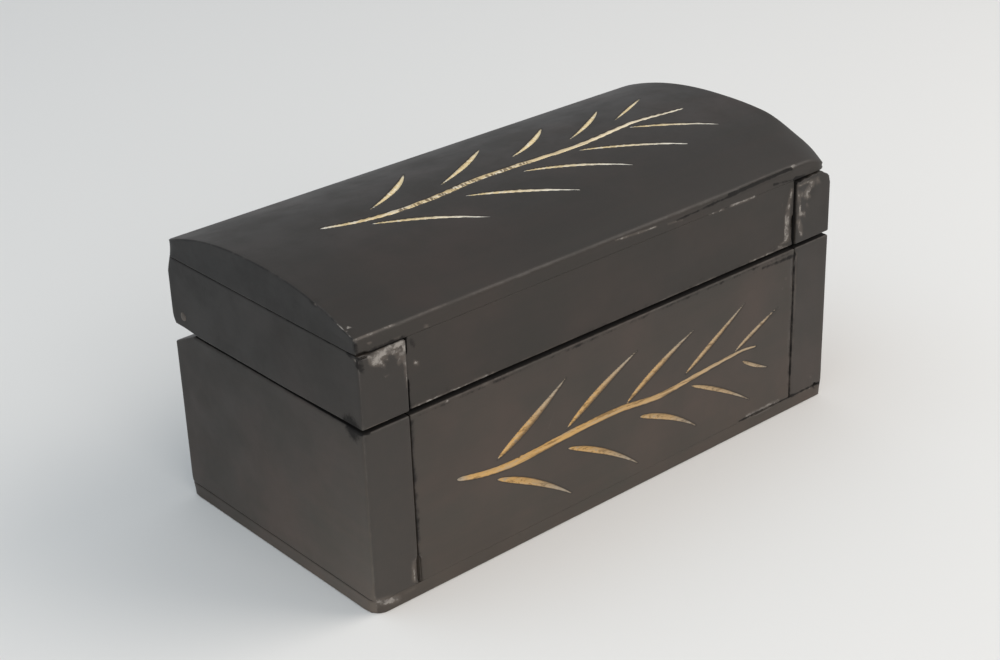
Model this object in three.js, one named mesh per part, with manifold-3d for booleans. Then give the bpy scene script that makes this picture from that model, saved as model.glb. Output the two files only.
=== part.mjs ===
// A small carved wooden trinket box. Its lid has a domed top board and swings on two wooden pegs at the
// back. A spray of long leaves is cut with a gouge into the front, and another into the dome.
// Sizes are in millimetres. X runs along the box, -Y is its front and Z is up. The origin is on the table,
// under the middle of the box.

import * as THREE from "three";
import { mergeVertices } from "three/addons/utils/BufferGeometryUtils.js";
import Module from "manifold-3d";

const wasm = await Module();
wasm.setup();

// Driving dimensions of the boards.
const boxLength = 150;
const boxDepth = 74;
const baseHeight = 46.4; // from the table to the rim of the base
const seamGap = 1; // between the rim and the closed lid
const lidWallHeight = 17.4; // the lid's walls, below its top board
const domeEdge = 3.6; // the top board's thickness along its front and back edges
const domeRise = 6.4; // how much thicker the top board is along its middle
const domeFullness = 2.3; // 2 is a plain arc, and more is flatter on top and steeper at the edges
const endThickness = 12.7; // half-inch boards, which run through from front to back
const wallThickness = 9.5; // three-eighths boards, let in between the ends
const bottomThickness = 3.5;
const lidFaceInset = 0.6; // how far the lid's front and dome stand behind the front edges of its ends
const glueLine = 0.2; // between two boards that are glued together

// Driving dimensions of the hinge.
const pegRadius = 1.4;
const pegReach = 10; // how far a peg goes into the back board
const pegClearance = 0.1;
const pegRise = 4; // the hinge line above the rim of the base
const swingGap = 0.4; // between the lid and anything that it swings past
const lidLean = 25; // degrees past upright, where the open lid's back lies along the bevels of the base

// Driving dimensions of the carving.
const frontGouge = { stemWidth: 2.5, stemTaper: 0.6, upperSkew: 0.75, lowerSkew: 0.65, depthShare: 0.36 };
const domeGouge = { stemWidth: 2, stemTaper: 0.3, upperSkew: 1.1, lowerSkew: 0.8, depthShare: 0.36 };
const tipWidth = 0.25; // a cut's width where the gouge enters and leaves the wood
const leafSteps = 9;
const stemSteps = 26;
const domeSteps = 26;
const knuckleSteps = 12;
const pegSides = 24;

// The sprays, as shares of the carved board. Places are measured from the board's middle, along its length
// and then up or across it. A leaf has its foot, its length as a share of the board's height, its slant in
// degrees, how far its middle bows to the left, as a share of its own length, and its full width.
const frontSpray = {
  stem: [
    [-0.404, 0.006], [-0.326, -0.041], [-0.248, -0.053], [-0.101, -0.034], [0.004, -0.032],
    [0.113, -0.064], [0.226, -0.041], [0.342, -0.022], [0.393, -0.036],
  ],
  upperLeaves: [
    { foot: [-0.308, 0.015], length: 0.59, slant: 31, bow: -0.023, width: 2.2 },
    { foot: [-0.134, 0.004], length: 0.61, slant: 28, bow: 0.02, width: 1.8 },
    { foot: [0.023, -0.015], length: 0.6, slant: 27, bow: 0.023, width: 1.7 },
    { foot: [0.185, -0.001], length: 0.57, slant: 30, bow: -0.009, width: 1.3 },
    { foot: [0.33, -0.004], length: 0.4, slant: 24, bow: 0.005, width: 0.9 },
  ],
  lowerLeaves: [
    { foot: [-0.31, -0.107], length: 0.62, slant: -30, bow: 0.038, width: 2 },
    { foot: [-0.132, -0.123], length: 0.62, slant: -30, bow: 0.042, width: 2 },
    { foot: [0.058, -0.139], length: 0.52, slant: -27, bow: 0.049, width: 1.8 },
    { foot: [0.203, -0.097], length: 0.57, slant: -29, bow: 0.026, width: 1.5 },
    { foot: [0.352, -0.093], length: 0.26, slant: -28, bow: -0.027, width: 1.2 },
  ],
};
const domeSpray = {
  stem: [
    [-0.356, 0.055], [-0.297, 0.014], [-0.227, -0.005], [-0.146, 0], [-0.056, 0.018],
    [0.069, 0.011], [0.156, 0.005], [0.258, 0.026], [0.307, 0.03], [0.401, 0.004],
  ],
  upperLeaves: [
    { foot: [-0.255, 0.068], length: 0.34, slant: 34, bow: -0.063, width: 1.6 },
    { foot: [-0.115, 0.067], length: 0.37, slant: 30, bow: -0.035, width: 1.6 },
    { foot: [0.043, 0.089], length: 0.32, slant: 30, bow: -0.058, width: 1.5 },
    { foot: [0.167, 0.073], length: 0.32, slant: 30, bow: -0.041, width: 1.3 },
    { foot: [0.281, 0.095], length: 0.26, slant: 26, bow: -0.005, width: 1 },
  ],
  lowerLeaves: [
    { foot: [-0.289, -0.03], length: 0.37, slant: -32, bow: 0.034, width: 1.2 },
    { foot: [-0.117, -0.063], length: 0.37, slant: -31, bow: 0.025, width: 1.2 },
    { foot: [0.013, -0.038], length: 0.37, slant: -31, bow: 0.05, width: 1.2 },
    { foot: [0.138, -0.029], length: 0.38, slant: -31, bow: 0.03, width: 1.1 },
    { foot: [0.273, 0.003], length: 0.31, slant: -36, bow: 0.03, width: 1.2 },
  ],
};

// Sizes that follow from them.
const frontY = -boxDepth / 2;
const backY = boxDepth / 2;
const innerLength = boxLength - 2 * endThickness;
const wallLength = innerLength - 2 * glueLine;
const wallBottom = bottomThickness + glueLine;
const lidBottom = baseHeight + seamGap;
const lidWallTop = lidBottom + lidWallHeight;
const domeBottom = lidWallTop + glueLine;
const knuckleRadius = wallThickness / 2;
const hingeY = backY - knuckleRadius;
const hingeZ = baseHeight + pegRise;
const lidDrop = pegRise - seamGap; // from the hinge line down to the lid's lower edge
const cornerRadius = Math.max(knuckleRadius, lidDrop);
const swingRadius = cornerRadius + swingGap;
const bevelAngle = THREE.MathUtils.degToRad(lidLean);
const domeFrontY = frontY + lidFaceInset;
const domeDepth = backY - domeFrontY;

const paint = { color: 0x423d3a, roughness: 0.55, metalness: 0 };
const bareWood = { color: 0x8a5a30, roughness: 0.7, metalness: 0 };

// The height of the dome over its own edges, at a distance y from the middle of the board.
function domeHeight(y) {
  const share = Math.min(Math.abs(y) / (domeDepth / 2), 1);
  return domeRise * (1 - share ** domeFullness);
}

// How much the dome falls for each millimetre along Y.
function domeSlope(y) {
  const half = domeDepth / 2;
  return -Math.sign(y) * domeRise * domeFullness * (Math.abs(y) / half) ** (domeFullness - 1) / half;
}

// A board with the given outline in the YZ plane, as long along X as asked, centred on x = 0.
function profileBoard(outline, length) {
  const geometry = new THREE.ExtrudeGeometry(outline, { depth: length, bevelEnabled: false });
  const alongX = new THREE.Matrix4().makeBasis(
    new THREE.Vector3(0, 1, 0),
    new THREE.Vector3(0, 0, 1),
    new THREE.Vector3(1, 0, 0),
  );
  return geometry.applyMatrix4(alongX).translate(-length / 2, 0, 0);
}

function outlineOf(points) {
  return new THREE.Shape(points.map(([y, z]) => new THREE.Vector2(y, z)));
}

// A closed geometry as a solid that can be cut.
function solidOf(geometry) {
  const bare = geometry.clone();
  bare.deleteAttribute("normal");
  bare.deleteAttribute("uv");
  const merged = mergeVertices(bare, 1e-4);
  const mesh = new wasm.Mesh({
    numProp: 3,
    vertProperties: new Float32Array(merged.attributes.position.array),
    triVerts: new Uint32Array(merged.index.array),
  });
  return new wasm.Manifold(mesh);
}

function geometryOf(solid) {
  const mesh = solid.getMesh();
  const geometry = new THREE.BufferGeometry();
  geometry.setAttribute("position", new THREE.BufferAttribute(mesh.vertProperties, 3));
  geometry.setIndex(new THREE.BufferAttribute(mesh.triVerts, 1));
  return geometry;
}

function cutAway(geometry, cutters) {
  const removed = cutters.map(solidOf).reduce((sum, cutter) => sum.add(cutter));
  return geometryOf(solidOf(geometry).subtract(removed));
}

// The line of a leaf, from its foot to its tip, as places on a face of the given length and height.
function leafLine(leaf, faceLength, faceHeight) {
  const slant = THREE.MathUtils.degToRad(leaf.slant);
  const reach = leaf.length * faceHeight;
  const foot = new THREE.Vector2(leaf.foot[0] * faceLength, leaf.foot[1] * faceHeight);
  const along = new THREE.Vector2(Math.cos(slant), Math.sin(slant));
  const left = new THREE.Vector2(-along.y, along.x);
  const tip = foot.clone().addScaledVector(along, reach);
  const bend = foot.clone().lerp(tip, 0.5).addScaledVector(left, 2 * leaf.bow * reach);
  return new THREE.QuadraticBezierCurve(foot, bend, tip);
}

function stemLine(points, faceLength, faceHeight) {
  return new THREE.SplineCurve(points.map(([u, v]) => new THREE.Vector2(u * faceLength, v * faceHeight)));
}

// How wide a cut is along its line, from 0 to 1. With a skew under 1 a leaf is fullest near its foot, and over
// 1 near its tip. A stem loses its taper by its end.
const leafShape = (skew) => (t) => Math.sin(Math.PI * t ** skew);
const stemShape = (taper) => (t) => Math.sin(Math.PI * t) ** 0.3 * (1 - taper * t);

// What a gouge takes out along a line: a closed trough, hollowed like a parabola below the face and running
// on a little above it. The face turns a place along it, across it and a height over it into a point.
function gougeCut(line, steps, width, depthShare, shape, face) {
  const across = [-1.25, -0.75, -0.3, 0.3, 0.75, 1.25];
  const ring = across.length;
  const positions = [];
  for (let i = 0; i <= steps; i += 1) {
    const t = i / steps;
    const middle = line.getPoint(t);
    const along = line.getTangent(t);
    const halfWidth = (tipWidth + (width - tipWidth) * Math.max(shape(t), 0)) / 2;
    const depth = 2 * halfWidth * depthShare;
    for (const share of across) {
      const offset = share * halfWidth;
      const height = -depth * (1 - share ** 2);
      positions.push(...face(middle.x - along.y * offset, middle.y + along.x * offset, height).toArray());
    }
  }
  const triangles = [];
  for (let i = 0; i < steps; i += 1) {
    for (let j = 0; j < ring; j += 1) {
      const here = i * ring;
      const next = here + ring;
      const k = (j + 1) % ring;
      triangles.push(here + j, here + k, next + k);
      triangles.push(here + j, next + k, next + j);
    }
  }
  const last = steps * ring;
  for (let j = 1; j < ring - 1; j += 1) {
    triangles.push(0, j + 1, j);
    triangles.push(last, last + j, last + j + 1);
  }
  const geometry = new THREE.BufferGeometry();
  geometry.setAttribute("position", new THREE.Float32BufferAttribute(positions, 3));
  geometry.setIndex(triangles);
  return geometry;
}

// Every cut of a spray, on a face of the given length and height.
function sprayCuts(spray, gouge, faceLength, faceHeight, face) {
  const { stemWidth, stemTaper, upperSkew, lowerSkew, depthShare } = gouge;
  const stem = stemLine(spray.stem, faceLength, faceHeight);
  const leafCuts = (leaves, shape) =>
    leaves.map((leaf) =>
      gougeCut(leafLine(leaf, faceLength, faceHeight), leafSteps, leaf.width, depthShare, shape, face),
    );
  return [
    gougeCut(stem, stemSteps, stemWidth, depthShare, stemShape(stemTaper), face),
    ...leafCuts(spray.upperLeaves, leafShape(upperSkew)),
    ...leafCuts(spray.lowerLeaves, leafShape(lowerSkew)),
  ];
}

// A hole along X for a peg, as long as asked, on the line y, z.
function pegHole(length, x, y, z) {
  const hole = new THREE.CylinderGeometry(
    pegRadius + pegClearance,
    pegRadius + pegClearance,
    length,
    pegSides,
  );
  return hole.rotateZ(Math.PI / 2).translate(x, y, z);
}

function piece(name, geometry, look, position) {
  const material = new THREE.MeshStandardMaterial({ ...look, flatShading: true });
  const mesh = new THREE.Mesh(geometry, material);
  mesh.name = name;
  mesh.position.copy(position);
  return mesh;
}

// The bottom board lies under all four walls.
function baseBottom() {
  const geometry = new THREE.BoxGeometry(boxLength, boxDepth, bottomThickness);
  return piece("base_bottom", geometry, bareWood, new THREE.Vector3(0, 0, bottomThickness / 2));
}

// The front wall, with its spray.
function baseFront() {
  const height = baseHeight - wallBottom;
  const face = (along, up, over) => new THREE.Vector3(along, -wallThickness / 2 - over, up);
  const board = new THREE.BoxGeometry(wallLength, wallThickness, height);
  const carved = cutAway(board, sprayCuts(frontSpray, frontGouge, wallLength, height, face));
  const place = new THREE.Vector3(0, frontY + wallThickness / 2, wallBottom + height / 2);
  return piece("base_front", carved, paint, place);
}

// The back wall stands up above the rim as a knuckle, rounded about the hinge line. Above the rim its ends
// stop short of the lid's ends, which swing past them, and each has a hole for a peg.
function baseBack() {
  const outline = new THREE.Shape();
  const hingeHeight = hingeZ - wallBottom;
  outline.moveTo(-knuckleRadius, 0);
  outline.lineTo(knuckleRadius, 0);
  outline.absarc(0, hingeHeight, knuckleRadius, 0, Math.PI, false);
  const points = outline.extractPoints(knuckleSteps).shape;
  const board = profileBoard(new THREE.Shape(points), wallLength);
  const knuckleLength = innerLength - 2 * swingGap;
  const rimHeight = baseHeight - wallBottom;
  const notchHeight = pegRise + 2 * knuckleRadius;
  const cutters = [-1, 1].flatMap((side) => [
    new THREE.BoxGeometry(endThickness, boxDepth, notchHeight).translate(
      side * (knuckleLength + endThickness) / 2,
      0,
      rimHeight + notchHeight / 2,
    ),
    pegHole(2 * (pegReach + pegClearance), side * innerLength / 2, 0, hingeHeight),
  ]);
  return piece("base_back", cutAway(board, cutters), paint, new THREE.Vector3(0, hingeY, wallBottom));
}

// An end wall. The top of its back corner is bevelled, so that the open lid's back lies along it.
function baseEnd(name, side) {
  const bevelDrop = (swingRadius + knuckleRadius * Math.sin(bevelAngle)) / Math.cos(bevelAngle);
  const bevelStart = hingeY - (swingRadius - pegRise * Math.cos(bevelAngle)) / Math.sin(bevelAngle);
  const outline = outlineOf([
    [frontY, wallBottom],
    [backY, wallBottom],
    [backY, hingeZ - bevelDrop],
    [bevelStart, baseHeight],
    [frontY, baseHeight],
  ]);
  const middleX = side * (boxLength - endThickness) / 2;
  return piece(name, profileBoard(outline, endThickness), paint, new THREE.Vector3(middleX, 0, 0));
}

// The lid's pieces are placed from the hinge line, because the lid turns about it.
function fromHinge(x, y, z) {
  return new THREE.Vector3(x, y - hingeY, z - hingeZ);
}

function lidFront() {
  const geometry = new THREE.BoxGeometry(wallLength, wallThickness, lidWallHeight);
  const middleY = domeFrontY + wallThickness / 2;
  return piece("lid_front", geometry, paint, fromHinge(0, middleY, lidBottom + lidWallHeight / 2));
}

// The lid's back wall sits over the knuckle. Its lower face slopes up towards the back, so that it comes to
// lie along the back of the base when the lid is fully open.
function lidBack() {
  const top = lidWallTop - hingeZ;
  const slopeZ = (y) => (swingRadius + y * Math.sin(bevelAngle)) / Math.cos(bevelAngle);
  const slopeStart = swingRadius * (Math.cos(bevelAngle) - 1) / Math.sin(bevelAngle);
  const outline = outlineOf([
    [-knuckleRadius, swingRadius],
    [slopeStart, swingRadius],
    [knuckleRadius, slopeZ(knuckleRadius)],
    [knuckleRadius, top],
    [-knuckleRadius, top],
  ]);
  return piece("lid_back", profileBoard(outline, wallLength), paint, new THREE.Vector3(0, 0, 0));
}

// An end wall of the lid. Its lower back corner is rounded about the hinge line and has a hole for a peg.
function lidEnd(name, side) {
  const top = lidWallTop - hingeZ;
  const front = frontY - hingeY;
  const roundFrom = -Math.asin(lidDrop / cornerRadius);
  const roundTo = -Math.acos(knuckleRadius / cornerRadius);
  const outline = new THREE.Shape();
  outline.moveTo(front, top);
  outline.lineTo(front, -lidDrop);
  outline.absarc(0, 0, cornerRadius, roundFrom, roundTo, false);
  outline.lineTo(knuckleRadius, top);
  const points = outline.extractPoints(knuckleSteps).shape;
  const board = profileBoard(new THREE.Shape(points), endThickness);
  const drilled = cutAway(board, [pegHole(2 * endThickness, 0, 0, 0)]);
  const middleX = side * (boxLength - endThickness) / 2;
  return piece(name, drilled, paint, new THREE.Vector3(middleX, 0, 0));
}

// The top board is flat below and domed above, with its spray.
function lidTop() {
  const half = domeDepth / 2;
  const middleY = (domeFrontY + backY) / 2;
  const points = [[-half, 0], [half, 0]];
  for (let i = 0; i <= domeSteps; i += 1) {
    const y = half * Math.cos((Math.PI * i) / domeSteps);
    points.push([y, domeEdge + domeHeight(y)]);
  }
  const board = profileBoard(outlineOf(points), boxLength);
  const face = (along, across, over) => {
    const slope = domeSlope(across);
    const outward = new THREE.Vector3(0, -slope, 1).normalize();
    return new THREE.Vector3(along, across, domeEdge + domeHeight(across)).addScaledVector(outward, over);
  };
  const carved = cutAway(board, sprayCuts(domeSpray, domeGouge, boxLength, domeDepth, face));
  return piece("lid_top", carved, paint, fromHinge(0, middleY, domeBottom));
}

// A peg is driven in from the outside, through an end of the lid and into the back wall of the base.
function hingePeg(name, side) {
  const length = endThickness + pegReach;
  const geometry = new THREE.CylinderGeometry(pegRadius, pegRadius, length, pegSides);
  geometry.rotateZ(Math.PI / 2);
  return piece(name, geometry, bareWood, new THREE.Vector3(side * (boxLength - length) / 2, 0, 0));
}

const base = new THREE.Group();
base.add(
  baseBottom(),
  baseFront(),
  baseBack(),
  baseEnd("base_end_left", -1),
  baseEnd("base_end_right", 1),
);

// Turning this group about X, by up to minus 90 degrees and the lean, opens the lid.
const lid = new THREE.Group();
lid.position.set(0, hingeY, hingeZ);
lid.add(
  lidTop(),
  lidFront(),
  lidBack(),
  lidEnd("lid_end_left", -1),
  lidEnd("lid_end_right", 1),
  hingePeg("hinge_peg_left", -1),
  hingePeg("hinge_peg_right", 1),
);

const trinketBox = new THREE.Group();
trinketBox.name = "trinket_box";
trinketBox.add(base, lid);

export default trinketBox;
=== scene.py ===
# %% [markdown]
# # A carved trinket box: worn paint over bare wood
#
# The box is twelve wooden pieces: a bottom board, four walls, a domed lid board on four
# more walls, and two pegs that the lid turns on. A coat of dark satin paint hides the
# wood, and two sprays of leaves are cut through the paint with a gouge.
#
# The solids come first. They fix every size, so this lesson only makes the skins: finer
# meshes with the same corners, soft arrises, tool marks and paint.

# %% Load the solids
import math

import bpy
import numpy as np
from mathutils import Matrix, Vector


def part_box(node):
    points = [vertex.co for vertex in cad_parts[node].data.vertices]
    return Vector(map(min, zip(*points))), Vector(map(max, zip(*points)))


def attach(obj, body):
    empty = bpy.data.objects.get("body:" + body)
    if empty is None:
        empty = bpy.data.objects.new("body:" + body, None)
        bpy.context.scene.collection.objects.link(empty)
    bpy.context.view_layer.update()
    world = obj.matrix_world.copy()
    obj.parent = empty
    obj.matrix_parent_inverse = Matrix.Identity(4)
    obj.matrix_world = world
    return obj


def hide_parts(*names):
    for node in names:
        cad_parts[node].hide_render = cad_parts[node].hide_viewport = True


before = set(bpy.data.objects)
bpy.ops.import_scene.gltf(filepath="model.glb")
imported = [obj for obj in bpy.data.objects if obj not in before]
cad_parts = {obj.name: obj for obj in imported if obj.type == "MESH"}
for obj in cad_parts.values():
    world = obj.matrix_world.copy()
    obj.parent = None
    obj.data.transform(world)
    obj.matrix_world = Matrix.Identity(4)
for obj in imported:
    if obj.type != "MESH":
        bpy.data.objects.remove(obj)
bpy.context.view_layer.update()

MILLIMETRE = 0.001
print("solids to dress:", sorted(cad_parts))

# %% [markdown]
# ## The camera
#
# The photograph looks down on the box from its front left. A camera can be aimed by eye,
# but then every comparison is a guess. This one was fitted to the box's own corners, so
# it is written as turns about the box and the box's offset in front of the lens.

# %% Place the camera
sensor_width = 36.0
focal_share = 1.925528
turn_about_box = math.radians(-40.172)
height_angle = math.radians(26.391)
tilt_of_horizon = math.radians(-2.01)
box_from_lens = Vector((4.777, 28.754, 496.282)) * MILLIMETRE

toward_camera = Vector((
    math.sin(turn_about_box) * math.cos(height_angle),
    -math.cos(turn_about_box) * math.cos(height_angle),
    math.sin(height_angle),
))
sight = -toward_camera
level_right = sight.cross(Vector((0, 0, 1))).normalized()
level_down = sight.cross(level_right)
right = level_right * math.cos(tilt_of_horizon) - level_down * math.sin(tilt_of_horizon)
down = level_right * math.sin(tilt_of_horizon) + level_down * math.cos(tilt_of_horizon)
camera_place = -(right * box_from_lens.x + down * box_from_lens.y + sight * box_from_lens.z)

camera_data = bpy.data.cameras.new("camera")
camera_data.sensor_width = sensor_width
camera_data.lens = focal_share * sensor_width
camera_data.clip_start = 0.01
camera = bpy.data.objects.new("camera", camera_data)
axes = Matrix((right, -down, -sight)).transposed()
camera.matrix_world = Matrix.Translation(camera_place) @ axes.to_4x4()
bpy.context.scene.collection.objects.link(camera)
bpy.context.scene.camera = camera
print("camera at", [round(value, 4) for value in camera_place])

# %% [markdown]
# ## Outlines that can shrink
#
# Each board is one outline, seen from its end, drawn out along the box's length. Blender
# could bevel a cube, but a bevel gives long thin faces, and carving needs small even
# ones. So the outline is a list of corners, each with its rounding and with the spacing
# of the points on the side after it. A pulled-in copy of the same outline gives the soft
# arris at the board's ends, with the same number of points.

# %% Pull an outline in
def inward_normals(points):
    """Unit normals of the sides of an anticlockwise outline, pointing into the wood."""
    ahead = np.roll(points, -1, axis=0) - points
    ahead = ahead / np.linalg.norm(ahead, axis=1)[:, None]
    return np.column_stack([-ahead[:, 1], ahead[:, 0]])


def pulled_in(points, inset):
    """The outline's corners after each side moves into the wood by the inset."""
    after = inward_normals(points)
    before = np.roll(after, 1, axis=0)
    lean = 1 + np.sum(before * after, axis=1)
    return points + inset * (before + after) / lean[:, None]


# %% Walk round an outline
ARC_STEPS = 5
SHARPEST = 0.04


def corner_arc(before, corner, after, radius):
    """Points of the round that replaces a corner, in order."""
    if radius == 0:
        return [corner]
    back = (before - corner) / np.linalg.norm(before - corner)
    ahead = (after - corner) / np.linalg.norm(after - corner)
    half_angle = math.acos(np.clip(back @ ahead, -1, 1)) / 2
    middle = (back + ahead) / np.linalg.norm(back + ahead)
    centre = corner + middle * radius / math.sin(half_angle)
    first = corner + back * radius / math.tan(half_angle) - centre
    last = corner + ahead * radius / math.tan(half_angle) - centre
    shares = np.linspace(0, 1, ARC_STEPS + 1)
    directions = [first * (1 - share) + last * share for share in shares]
    return [centre + radius * d / np.linalg.norm(d) for d in directions]


def ring(corners, inset):
    """One closed ring of points round an outline whose sides are pulled in."""
    sharp = np.array([corner[:2] for corner in corners], float)
    moved = pulled_in(sharp, inset)
    count = len(corners)
    arcs = []
    for i in range(count):
        radius = corners[i][2]
        if radius > 0:
            radius = max(radius - inset, SHARPEST)
        arcs.append(corner_arc(moved[i - 1], moved[i], moved[(i + 1) % count], radius))
    points = []
    for i in range(count):
        points.extend(arcs[i])
        length = np.linalg.norm(sharp[(i + 1) % count] - sharp[i])
        steps = max(1, math.ceil(length / corners[i][3]))
        start, end = arcs[i][-1], arcs[(i + 1) % count][0]
        points.extend(start + (end - start) * k / steps for k in range(1, steps))
    return np.array(points)


# %% [markdown]
# ## A board from rings
#
# Rings along the board's length make its long faces. At each end the rings shrink in a
# quarter circle, which rounds the end's arris, and then go on shrinking to the middle of
# the end, so that the end is made of small faces too and can be dented like the rest.

# %% Stations along a board
def spaced(start, end, step):
    """Even values from start to end, no further apart than the step."""
    steps = max(1, math.ceil((end - start) / step))
    return [start + (end - start) * k / steps for k in range(steps + 1)]


def stations(left, right, step, arris, fine=None):
    """Pairs of a place along the board and the inset of its ring."""
    turns = [math.pi / 2 * k / ARC_STEPS for k in range(ARC_STEPS + 1)]
    quarter = [(arris * (1 - math.cos(t)), arris * (1 - math.sin(t))) for t in turns]
    middle = spaced(left + arris, right - arris, step)
    if fine:
        low, high, fine_step = fine
        middle = spaced(left + arris, low, step)[:-1]
        middle += spaced(low, high, fine_step)
        middle += spaced(high, right - arris, step)[1:]
    places = [(left + along, inset) for along, inset in quarter[:-1]]
    places += [(x, 0.0) for x in middle]
    places += [(right - along, inset) for along, inset in reversed(quarter[:-1])]
    return places


# %% Rings to points and faces
def board_points(corners, places, end_step):
    """All rings of a board, from the middle of its left end to that of its right."""
    layers = [(x, ring(corners, inset)) for x, inset in places]
    rounds = []
    for x, outer in (layers[0], layers[-1]):
        centre = outer.mean(axis=0)
        reach = np.linalg.norm(outer - centre, axis=1).max()
        shares = np.linspace(0, 1, max(3, math.ceil(reach / end_step)) + 1)[1:-1]
        rounds.append([(x, centre + (outer - centre) * share) for share in shares])
    layers = rounds[0] + layers + rounds[1][::-1]
    flat = [np.column_stack([np.full(len(yz), x), yz]) for x, yz in layers]
    ends = [layer.mean(axis=0)[None, :] for layer in (flat[0], flat[-1])]
    return np.concatenate([ends[0], *flat, ends[1]]), len(layers), len(flat[0])


def board_faces(layer_count, around):
    """Four-sided faces between the rings and a fan at the middle of each end."""
    index = 1 + np.arange(layer_count * around).reshape(layer_count, around)
    here, there = index[:-1], index[1:]
    quads = np.stack([
        here, np.roll(here, -1, axis=1), np.roll(there, -1, axis=1), there,
    ], axis=-1).reshape(-1, 4).tolist()
    first, last = 0, layer_count * around + 1
    for i in range(around):
        after = (i + 1) % around
        quads.append((first, int(index[0, after]), int(index[0, i])))
        quads.append((last, int(index[-1, i]), int(index[-1, after])))
    return quads


# %% [markdown]
# ## Where each point lies on its board
#
# Paint wears at the arrises and wood shows inside, so each point needs to know how far it
# is from the nearest arris and which face it is on. Both follow from its distances to the
# planes of the board's faces: the smallest names its face and the next one is the way to
# the arris. A side of many short lines, such as the dome, counts as one face.

# %% Distances to faces and arrises
def face_distances(points, corners, left, right):
    """Distance of each point to each long face, and then to the left and right end."""
    sharp = np.array([corner[:2] for corner in corners], float)
    normals = inward_normals(sharp)
    faces = []
    for i, corner in enumerate(corners):
        distance = (points[:, 1:] - sharp[i]) @ normals[i]
        if corner[2] > 0 or not faces:
            faces.append(distance)
        else:
            faces[-1] = np.minimum(faces[-1], distance)
    return np.stack(faces + [points[:, 0] - left, right - points[:, 0]])


FAR = 50.0


def arris_and_face(distances, hidden):
    """Distance of each point to its nearest open arris and to any arris, and its face.

    A hidden face lies in a glued joint, so the arrises round it don't wear.
    """
    face = np.argmin(distances, axis=0)
    other = distances.copy()
    other[face, np.arange(len(face))] = np.inf
    border = np.maximum(other.min(axis=0), 0)
    other[list(hidden)] = np.inf
    edge = np.clip(other.min(axis=0), 0, FAR)
    return np.where(np.isin(face, hidden), FAR, edge), border, face


# %% [markdown]
# ## The gouge cuts
#
# Each leaf is one push of a gouge: a line that bends a little, thin at its ends and full
# in the middle. The carving could be a bump texture, but a real cut catches light and
# casts shade, so it moves the mesh. A point's depth follows from its distance to the
# nearest cut's line and that cut's half width there.

# %% Shares and shapes of the two sprays
# A stem's point is a place along and across its face, as shares of the face's size. A leaf
# is its foot, its length as a share, its slant in degrees, its bow and its full width.
front_length, front_height, front_middle = 124.2, 42.7, 25.05
dome_length, dome_depth, dome_middle = 150.0, 73.4, 0.3
tip_width = 0.25

front_stem = [
    (-0.404, 0.006), (-0.326, -0.041), (-0.248, -0.053), (-0.101, -0.034), (0.004, -0.032),
    (0.113, -0.064), (0.226, -0.041), (0.342, -0.022), (0.393, -0.036),
]
front_upper = [
    (-0.308, 0.015, 0.59, 31, -0.023, 2.15), (-0.134, 0.004, 0.61, 28, 0.02, 1.85),
    (0.023, -0.015, 0.6, 27, 0.023, 1.75), (0.185, -0.001, 0.57, 30, -0.009, 1.45),
    (0.33, -0.004, 0.4, 24, 0.005, 1.2),
]
front_lower = [
    (-0.31, -0.107, 0.62, -30, 0.038, 1.8), (-0.132, -0.123, 0.62, -30, 0.042, 1.6),
    (0.058, -0.139, 0.52, -27, 0.049, 1.6), (0.203, -0.097, 0.57, -29, 0.026, 1.15),
    (0.352, -0.093, 0.26, -28, -0.027, 1.0),
]
dome_stem = [
    (-0.356, 0.055), (-0.297, 0.014), (-0.227, -0.005), (-0.146, 0.0), (-0.056, 0.018),
    (0.069, 0.011), (0.156, 0.005), (0.258, 0.026), (0.307, 0.03), (0.401, 0.004),
]
dome_upper = [
    (-0.255, 0.068, 0.34, 34, -0.063, 1.6), (-0.115, 0.067, 0.37, 30, -0.035, 1.6),
    (0.043, 0.089, 0.32, 30, -0.058, 1.5), (0.167, 0.073, 0.32, 30, -0.041, 1.3),
    (0.281, 0.095, 0.26, 26, -0.005, 1.0),
]
dome_lower = [
    (-0.289, -0.03, 0.37, -32, 0.034, 1.2), (-0.117, -0.063, 0.37, -31, 0.025, 1.2),
    (0.013, -0.038, 0.37, -31, 0.05, 1.2), (0.138, -0.029, 0.38, -31, 0.03, 1.1),
    (0.273, 0.003, 0.31, -36, 0.03, 1.2),
]


# %% Lines of the cuts
LEAF_STEPS = 16
STEM_STEPS = 14


def leaf_line(leaf, length, height):
    """Points along a leaf, from its foot to its tip, in millimetres."""
    along, across, share, slant, bow, _ = leaf
    foot = np.array([along * length, across * height])
    slant = math.radians(slant)
    reach = share * height * np.array([math.cos(slant), math.sin(slant)])
    left = np.array([-reach[1], reach[0]])
    bend = foot + reach / 2 + left * 2 * bow
    t = np.linspace(0, 1, LEAF_STEPS + 1)[:, None]
    return (1 - t) ** 2 * foot + 2 * t * (1 - t) * bend + t ** 2 * (foot + reach), t[:, 0]


def stem_line(shares, length, height):
    """A smooth line through the stem's points, in millimetres."""
    points = np.array(shares) * [length, height]
    points = np.vstack([2 * points[0] - points[1], points, 2 * points[-1] - points[-2]])
    line = []
    for a, b, c, d in zip(points, points[1:], points[2:], points[3:]):
        for t in np.linspace(0, 1, STEM_STEPS, endpoint=False):
            cubic = (3 * b - a - 3 * c + d) * t ** 3
            square = (2 * a - 5 * b + 4 * c - d) * t ** 2
            line.append((2 * b + (c - a) * t + square + cubic) / 2)
    line = np.array(line + [points[-2]])
    gone = np.concatenate([[0], np.cumsum(np.linalg.norm(np.diff(line, axis=0), axis=1))])
    return line, gone / gone[-1]


# %% Half widths along the cuts
def leaf_width(t, skew):
    """A leaf's shape: a skew under one is fullest near the foot, over one near the tip."""
    return np.sin(math.pi * t ** skew)


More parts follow.
